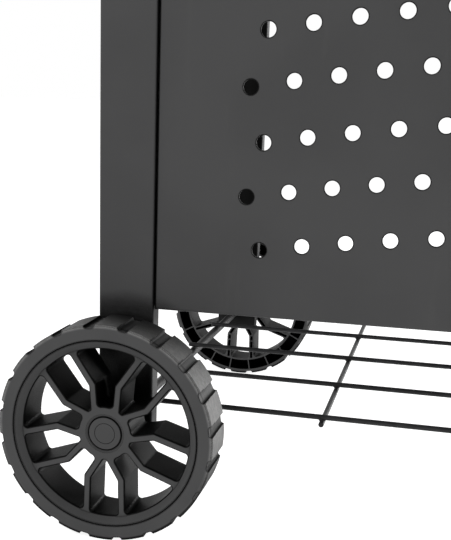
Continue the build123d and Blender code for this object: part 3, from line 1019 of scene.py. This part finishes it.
# ---- Sub-assemblies ----
@dataclass
class SheetMetal:
    """The folded frame: legs, rails, panel, worktop and the brackets that carry the axle."""

    finish: PowderCoat = field(default_factory=PowderCoat)
    panels: tuple[str, ...] = ("front_panel", "front_panel_flanges", "worktop", "rear_top_rail")
    legs: tuple[str, ...] = ("front_left_leg", "rear_left_leg", "front_right_leg", "rear_right_leg")
    rails: tuple[str, ...] = ("left_top_rail", "right_top_rail", "right_bottom_rail")
    brackets: tuple[str, ...] = ("front_axle_bracket", "rear_axle_bracket")
    sheet: float = 1.5 * MM
    # Near-black for the brackets: painted shade, as they sit in shade under the panel.
    bracket_shade_grey: float = 0.012

    def build(self) -> None:
        """Dresses every sheet piece."""
        paint = self.finish.make()
        for node in (*self.panels, *self.rails):
            dressed(node, paint)
        # Brackets: one even near-black grey, which is painted shade.
        thin = PowderCoat.plain("thin_powder_coat", self.bracket_shade_grey).make()
        for node in self.brackets:
            dressed(node, thin)
        # Legs: the coat with painted shade inside their channels.
        for node in self.legs:
            dressed(node, self.finish.make(self.channel_shade_box(node)))

    def channel_shade_box(self, node: str) -> Box:
        """The box inside a leg's channel, up to half-way through its walls, where shade is painted
        near-black.

        Args:
            node: The leg.

        Returns:
            The box's lowest and highest corners.
        """
        low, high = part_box(node)
        half = self.sheet / 2
        outer = half if low.y < 0 else -half
        front = low.y + outer if low.y < 0 else low.y - half
        back = high.y + half if low.y < 0 else high.y + outer
        return (
            Vector((low.x + half, front, low.z - half)),
            Vector((high.x - half, back, high.z + half)),
        )


@dataclass(frozen=True)
class Row:
    """One kind of arched row, which repeats up the panel."""

    name: str
    holes: int
    pitch: float
    crown: float


@dataclass
class PunchedRows:
    """The soft lips that punching leaves round the panel's arched rows of holes, painted near-black
    as shade.
    """

    hole_radius: float = 6.4 * MM
    arc_radius: float = 2585 * MM
    row_repeat: float = 91.6 * MM
    lip: float = 0.42 * MM
    proud: float = 0.16 * MM
    ring_points: int = 28
    lip_points: int = 6
    short: Row = Row("short_row_lips", 22, 37.4 * MM, 293.2 * MM)
    long: Row = Row("long_row_lips", 23, 36.9 * MM, 340.7 * MM)
    top_margin: float = 40 * MM
    # Near-black for the lips: painted shade round each hole.
    grey: float = 0.010

    def build(self) -> None:
        """Builds the lips of both kinds of row."""
        paint = PowderCoat.plain("thin_powder_on_lips", self.grey).make()
        for row in (self.short, self.long):
            aboard(self.sheet(row, paint).run(row.name), Slot.POWDER)

    def sheet(self, row: Row, paint: bpy.types.Material) -> NodeSheet:
        """The tree that sets one ring on each hole.

        Args:
            row: The kind of row.
            paint: The finish.

        Returns:
            The tree.
        """
        low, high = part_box("front_panel")
        sheet = NodeSheet("arched_rows")
        sheet.take(
            holes=row.holes,
            rows=int((high.z - self.top_margin - row.crown) / self.row_repeat) + 1,
            pitch=row.pitch,
            arc_radius=self.arc_radius,
            crown=row.crown,
            row_repeat=self.row_repeat,
            middle=(low.x + high.x) / 2,
            face=low.y,
            hole_radius=self.hole_radius,
            lip=self.lip,
            proud=self.proud,
        )
        given, math_ = sheet.given, sheet.math
        index = sheet.add("GeometryNodeInputIndex").outputs["Index"]
        level = math_("FLOOR", math_("DIVIDE", index, given("holes")))
        column = math_("SUBTRACT", index, math_("MULTIPLY", level, given("holes")))
        half = math_("MULTIPLY", math_("SUBTRACT", given("holes"), 1.0), 0.5)
        step = math_("DIVIDE", given("pitch"), given("arc_radius"))
        angle = math_("MULTIPLY", math_("SUBTRACT", column, half), step)
        x = math_("MULTIPLY_ADD", math_("SINE", angle), given("arc_radius"), given("middle"))
        sagitta = math_("SUBTRACT", 1.0, math_("COSINE", angle))
        crown = math_("MULTIPLY_ADD", level, given("row_repeat"), given("crown"))
        z = math_("SUBTRACT", crown, math_("MULTIPLY", sagitta, given("arc_radius")))
        sink = math_("SUBTRACT", given("lip"), given("proud"))
        feeds = {
            "Count": math_("MULTIPLY", given("holes"), given("rows")),
            "Position": sheet.point(x, math_("ADD", given("face"), sink), z),
        }
        points = sheet.add("GeometryNodePoints", feeds)
        feeds = {
            "Resolution": self.ring_points,
            "Radius": math_("ADD", given("hole_radius"), given("lip")),
        }
        ring = sheet.add("GeometryNodeCurvePrimitiveCircle", feeds)
        feeds = {"Resolution": self.lip_points, "Radius": given("lip")}
        section = sheet.add("GeometryNodeCurvePrimitiveCircle", feeds)
        feeds = {"Curve": ring.outputs["Curve"], "Profile Curve": section.outputs["Curve"]}
        swept = sheet.add("GeometryNodeCurveToMesh", feeds)
        feeds = {
            "Points": points.outputs[0],
            "Instance": swept.outputs["Mesh"],
            "Rotation": (math.pi / 2, 0.0, 0.0),
        }
        put = sheet.add("GeometryNodeInstanceOnPoints", feeds)
        sheet.end(put.outputs["Instances"], paint)
        return sheet


@dataclass
class Wheel:
    """One moulded wheel and its hub cap."""

    end: End
    wheel_node: str
    cap_node: str
    axle_x: float
    axle_z: float
    # Depths of the slices that take the painted shade of the outer edges and window lips.
    face_depth: float = 13 * MM
    lip_start: float = 4.96 * MM
    lip_end: float = 9.0 * MM
    cap_grain: float = 0.6 * MM

    def build(self) -> None:
        """Dresses the wheel and its cap."""
        centre = (self.axle_x, self.axle_z)
        name = self.wheel_node + "_plastic"
        # Slices for the painted shade: the outer side, and the lips round the windows.
        outer = self.slice(-MM, self.face_depth)
        lips = self.slice(self.lip_start, self.lip_end)
        moulded = MouldedPlastic(name, centre=centre, outer_side=outer, lips=lips)
        dressed(self.wheel_node, moulded.make())
        cap = MouldedPlastic(self.cap_node + "_plastic", grain=self.cap_grain)
        dressed(self.cap_node, cap.make())

    def slice(self, start: float, end: float) -> Box:
        """The part of the wheel between two depths behind its outer face.

        Args:
            start: The nearer depth.
            end: The further depth.

        Returns:
            The slice's lowest and highest corners.
        """
        low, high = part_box(self.wheel_node)
        face = low.y if self.end is End.FRONT else high.y
        near, far = sorted((face - self.end.value * start, face - self.end.value * end))
        return Vector((low.x - MM, near, low.z - MM)), Vector((high.x + MM, far, high.z + MM))


@dataclass
class Running:
    """The axle with its bushes, spacers, washers and lock nuts."""

    steel: tuple[str, ...] = ("axle", "axle_nuts", "axle_washers")
    nylon: tuple[str, ...] = (
        "front_axle_bush",
        "rear_axle_bush",
        "front_wheel_spacer",
        "rear_wheel_spacer",
        "front_right_foot",
        "rear_right_foot",
    )

    def build(self, steel: bpy.types.Material) -> None:
        """Dresses the pieces.

        Args:
            steel: The finish of the metal ones.
        """
        for node in self.steel:
            dressed(node, steel)
        nylon = MouldedPlastic(
            "black_nylon_moulding",
            colour=(0.026, 0.026, 0.027),
            shade=(0.021, 0.021, 0.022),
            rubbed=(0.05, 0.05, 0.05),
            roughness=0.46,
            grain=0.6 * MM,
        ).make()
        for node in self.nylon:
            dressed(node, nylon)


@dataclass
class WireRack:
    """The long wires, the cross wires under them and the welds where they meet."""

    finish: CoatedWire = field(default_factory=CoatedWire)
    long_wires: int = 5
    cross_wires: int = 3
    bead: tuple[float, float, float] = (3.4 * MM, 3.0 * MM, 1.5 * MM)
    bead_spread: tuple[float, float] = (0.88, 1.08)

    def build(self) -> None:
        """Dresses the wires and welds them at every crossing."""
        coat = self.finish.make()
        for number in range(self.long_wires):
            dressed(f"rack_wire_{number + 1}", coat)
        for number in range(self.cross_wires):
            dressed(f"rack_cross_wire_{number + 1}", coat)
        aboard(self.welds(coat), Slot.WIRE)

    def welds(self, coat: bpy.types.Material) -> bpy.types.Object:
        """A flattened bead at each crossing.

        Args:
            coat: The finish.

        Returns:
            The piece.
        """
        first, last = self.middle("rack_wire_1"), self.middle(f"rack_wire_{self.long_wires}")
        left = self.middle("rack_cross_wire_1")
        right = self.middle(f"rack_cross_wire_{self.cross_wires}")
        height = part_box("rack_wire_1")[0].z
        sheet = NodeSheet("crossing_welds")
        sheet.take(
            long_wires=self.long_wires,
            cross_wires=self.cross_wires,
            left=left.x,
            spacing=(right.x - left.x) / (self.cross_wires - 1),
            front=first.y,
            wire_pitch=(last.y - first.y) / (self.long_wires - 1),
            height=height,
            bead=self.bead,
            seed=11,
        )
        given, math_ = sheet.given, sheet.math
        index = sheet.add("GeometryNodeInputIndex").outputs["Index"]
        across = math_("FLOOR", math_("DIVIDE", index, given("long_wires")))
        along = math_("SUBTRACT", index, math_("MULTIPLY", across, given("long_wires")))
        x = math_("MULTIPLY_ADD", across, given("spacing"), given("left"))
        y = math_("MULTIPLY_ADD", along, given("wire_pitch"), given("front"))
        feeds = {
            "Count": math_("MULTIPLY", given("long_wires"), given("cross_wires")),
            "Position": sheet.point(x, y, given("height")),
        }
        points = sheet.add("GeometryNodePoints", feeds)
        low, high = self.bead_spread
        ball = sheet.add("GeometryNodeMeshUVSphere", {"Segments": 16, "Rings": 10, "Radius": 1.0})
        size = sheet.add("FunctionNodeRandomValue", {2: low, 3: high, "Seed": given("seed")})
        feeds = {
            "Points": points.outputs[0],
            "Instance": ball.outputs["Mesh"],
            "Scale": sheet.scaled(given("bead"), size.outputs[1]),
        }
        put = sheet.add("GeometryNodeInstanceOnPoints", feeds)
        sheet.end(put.outputs["Instances"], coat)
        return sheet.run("rack_welds")

    @staticmethod
    def middle(node: str) -> Vector:
        """The middle of a CAD node's box."""
        low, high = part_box(node)
        return (low + high) / 2


@dataclass
class Fasteners:
    """Socket screws and hexagon nuts that stand for the plain ones of the frame."""

    head_radius: float = 4.55 * MM
    head_height: float = 2.6 * MM
    socket_flats: float = 3.0 * MM
    socket_depth: float = 1.7 * MM
    thread_radius: float = 2.45 * MM
    thread_depth: float = 0.38 * MM
    thread_pitch: float = 0.8 * MM
    shank: float = 9.8 * MM
    nut_flats: float = 7.9 * MM
    nut_height: float = 3.9 * MM
    nut_bore: float = 2.6 * MM
    sides: int = 24
    sets: tuple[str, ...] = ("rail", "panel", "rear_rail", "worktop")

    def build(self, steel: bpy.types.Material) -> None:
        """Builds every set of screws and nuts.

        Args:
            steel: Their finish.
        """
        screw, nut = self.screw(), self.nut()
        for group in self.sets:
            for kind, shape in (("screws", screw), ("nuts", nut)):
                node = f"{group}_{kind}"
                made = Copies(shape, steel).lay(f"{group}_socket_{kind}", seats_of(node))
                aboard(made, Slot.STEEL, node)

    def screw(self) -> bpy.types.Mesh:
        """A button-head screw with a hexagon socket and a threaded shank, its top at the origin.

        Returns:
            The mesh.
        """
        flats = self.socket_flats / 2
        down = -self.head_height
        profile = [
            (0.0, -self.socket_depth - 0.3 * MM),
            (flats, -self.socket_depth),
            (flats, -0.25 * MM),
        ]
        sockets = len(profile)
        profile += [(flats * 1.3, 0.0), (self.head_radius * 0.62, -0.1 * MM)]
        profile += [(self.head_radius * 0.84, -0.55 * MM), (self.head_radius * 0.97, -1.3 * MM)]
        profile += [(self.head_radius, down + 0.2 * MM), (self.head_radius * 0.97, down)]
        height = down
        core = self.thread_radius - self.thread_depth
        profile.append((core, down))
        while height - self.thread_pitch > down - self.shank + self.thread_pitch:
            profile.append((self.thread_radius, height - self.thread_pitch / 2))
            height -= self.thread_pitch
            profile.append((core, height))
        profile += [(core * 0.8, down - self.shank), (0.0, down - self.shank)]

        def reach(number: int, radius: float, angle: float) -> float:
            """Makes the socket's rings hexagons and leaves the rest round."""
            return hexagon(radius, angle) if 0 < number < sockets else radius

        return kept_mesh(turned(profile, self.sides, reach), "socket_screw")

    def nut(self) -> bpy.types.Mesh:
        """A hexagon nut with chamfered corners and a bore, its middle at the origin.

        Returns:
            The mesh.
        """
        half = self.nut_height / 2
        flats = self.nut_flats / 2
        bevel = 0.35 * MM
        rings = [
            (self.nut_bore, -half + bevel),
            (self.nut_bore + bevel, -half),
            (flats * 0.96, -half),
            (flats, -half + 0.9 * bevel),
            (flats, half - 0.9 * bevel),
            (flats * 0.96, half),
            (self.nut_bore + bevel, half),
            (self.nut_bore, half - bevel),
        ]
        hexed = (3, 4)

        def reach(number: int, radius: float, angle: float) -> float:
            """Makes the two outer rings hexagons."""
            return hexagon(radius, angle) if number in hexed else radius

        work = turned(rings, self.sides, reach)
        open_rings = [edge for edge in work.edges if edge.is_boundary]
        bmesh.ops.bridge_loops(work, edges=open_rings)
        bmesh.ops.recalc_face_normals(work, faces=work.faces)
        return kept_mesh(work, "hexagon_nut")


# ---- Studio ----
@dataclass
class Studio:
    """The floor, the lights and the camera."""

    place: tuple[float, float, float] = (-0.1981, -1.1190, 0.3927)
    yaw: float = 15.49
    pitch: float = 14.87
    roll: float = 1.23
    lens: float = 66.83
    sensor: float = 36.0
    shift: tuple[float, float] = (0.105, 0.1687)
    floor_size: float = 60.0
    world: float = 1.0
    overhead: float = 0.10
    dimming: tuple[float, float] = (0.40, 0.65)

    def build(self) -> None:
        """Builds the studio."""
        self.floor()
        self.lights()
        self.camera()
        bpy.context.scene.view_settings.view_transform = "Standard"

    def floor(self) -> None:
        """Lays the floor and lights the surroundings."""
        work = bmesh.new()
        bmesh.ops.create_grid(work, x_segments=2, y_segments=2, size=self.floor_size)
        floor = linked("studio_floor", kept_mesh(work, "studio_floor"))
        floor.data.materials.append(PaleFloor().make())
        world = bpy.data.worlds.new("studio_world")
        world.use_nodes = True
        background = world.node_tree.nodes["Background"]
        background.inputs["Color"].default_value = (1.0, 1.0, 1.0, 1.0)
        self.dimmed_above(world.node_tree, background.inputs["Strength"])
        bpy.context.scene.world = world

    def dimmed_above(self, tree: bpy.types.NodeTree, strength: Socket) -> None:
        """Makes the surroundings bright near the horizon and darker overhead.

        Args:
            tree: The world's node tree.
            strength: The socket that takes the brightness.
        """
        sheet = Sheet(tree)
        away = sheet.add("ShaderNodeTexCoord").outputs["Generated"]
        height = sheet.add("ShaderNodeSeparateXYZ", {0: away}).outputs["Z"]
        feeds = {
            "Value": height,
            "From Min": self.dimming[0],
            "From Max": self.dimming[1],
            "To Min": self.world,
            "To Max": self.overhead,
        }
        blend = sheet.add("ShaderNodeMapRange", feeds, interpolation_type="SMOOTHSTEP")
        sheet.feed(blend.outputs["Result"], strength)

    def lights(self) -> None:
        """Hangs the soft panels."""
        for name, place, aim, size, power in (
            ("right_panel", (1.7, -1.15, 1.9), (-0.45, -0.3, 0.15), 1.1, 18.0),
            ("low_back_panel", (1.3, 1.6, 0.45), (-0.45, -0.3, 0.12), 0.8, 64.0),
            ("left_panel", (-2.5, -1.3, 2.0), (-0.45, -0.3, 0.15), 1.2, 42.0),
        ):
            light = bpy.data.lights.new(name, "AREA")
            light.size = size
            light.energy = power
            lamp = bpy.data.objects.new(name, light)
            bpy.context.scene.collection.objects.link(lamp)
            lamp.location = place
            lamp.rotation_euler = (Vector(aim) - Vector(place)).to_track_quat("-Z", "Y").to_euler()

    def camera(self) -> None:
        """Sets up the camera with its lens shift."""
        data = bpy.data.cameras.new("camera")
        data.lens = self.lens
        data.sensor_width = self.sensor
        data.shift_x, data.shift_y = self.shift
        data.clip_start, data.clip_end = 0.01, 200.0
        camera = bpy.data.objects.new("camera", data)
        bpy.context.scene.collection.objects.link(camera)
        yaw, pitch, roll = (math.radians(angle) for angle in (self.yaw, self.pitch, self.roll))
        forward = Vector(
            (-math.sin(yaw) * math.cos(pitch), math.cos(yaw) * math.cos(pitch), -math.sin(pitch))
        )
        right = Vector((math.cos(yaw), math.sin(yaw), 0.0))
        up = right.cross(forward)
        rolled_right = right * math.cos(roll) + up * math.sin(roll)
        rolled_up = -right * math.sin(roll) + up * math.cos(roll)
        turn = Matrix((rolled_right, rolled_up, -forward)).transposed()
        camera.matrix_world = Matrix.Translation(self.place) @ turn.to_4x4()
        bpy.context.scene.camera = camera


def main() -> None:
    """Builds each sub-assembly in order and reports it."""
    logging.basicConfig(level=logging.INFO, format="%(name)s: %(message)s")
    SheetMetal().build()
    log.info("sheet metal dressed")
    PunchedRows().build()
    log.info("punched rows built")
    low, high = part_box("axle")
    x, z = (low.x + high.x) / 2, (low.z + high.z) / 2
    for wheel in (
        Wheel(End.FRONT, "front_wheel", "front_hub_cap", x, z),
        Wheel(End.REAR, "rear_wheel", "rear_hub_cap", x, z),
    ):
        wheel.build()
        log.info("%s built", wheel.wheel_node)
    steel = BlackZinc().make()
    Running().build(steel)
    log.info("axle dressed")
    WireRack().build()
    log.info("rack built")
    Fasteners().build(steel)
    log.info("fasteners built")
    Studio().build()
    log.info("studio built")


if __name__ == "__main__":
    main()
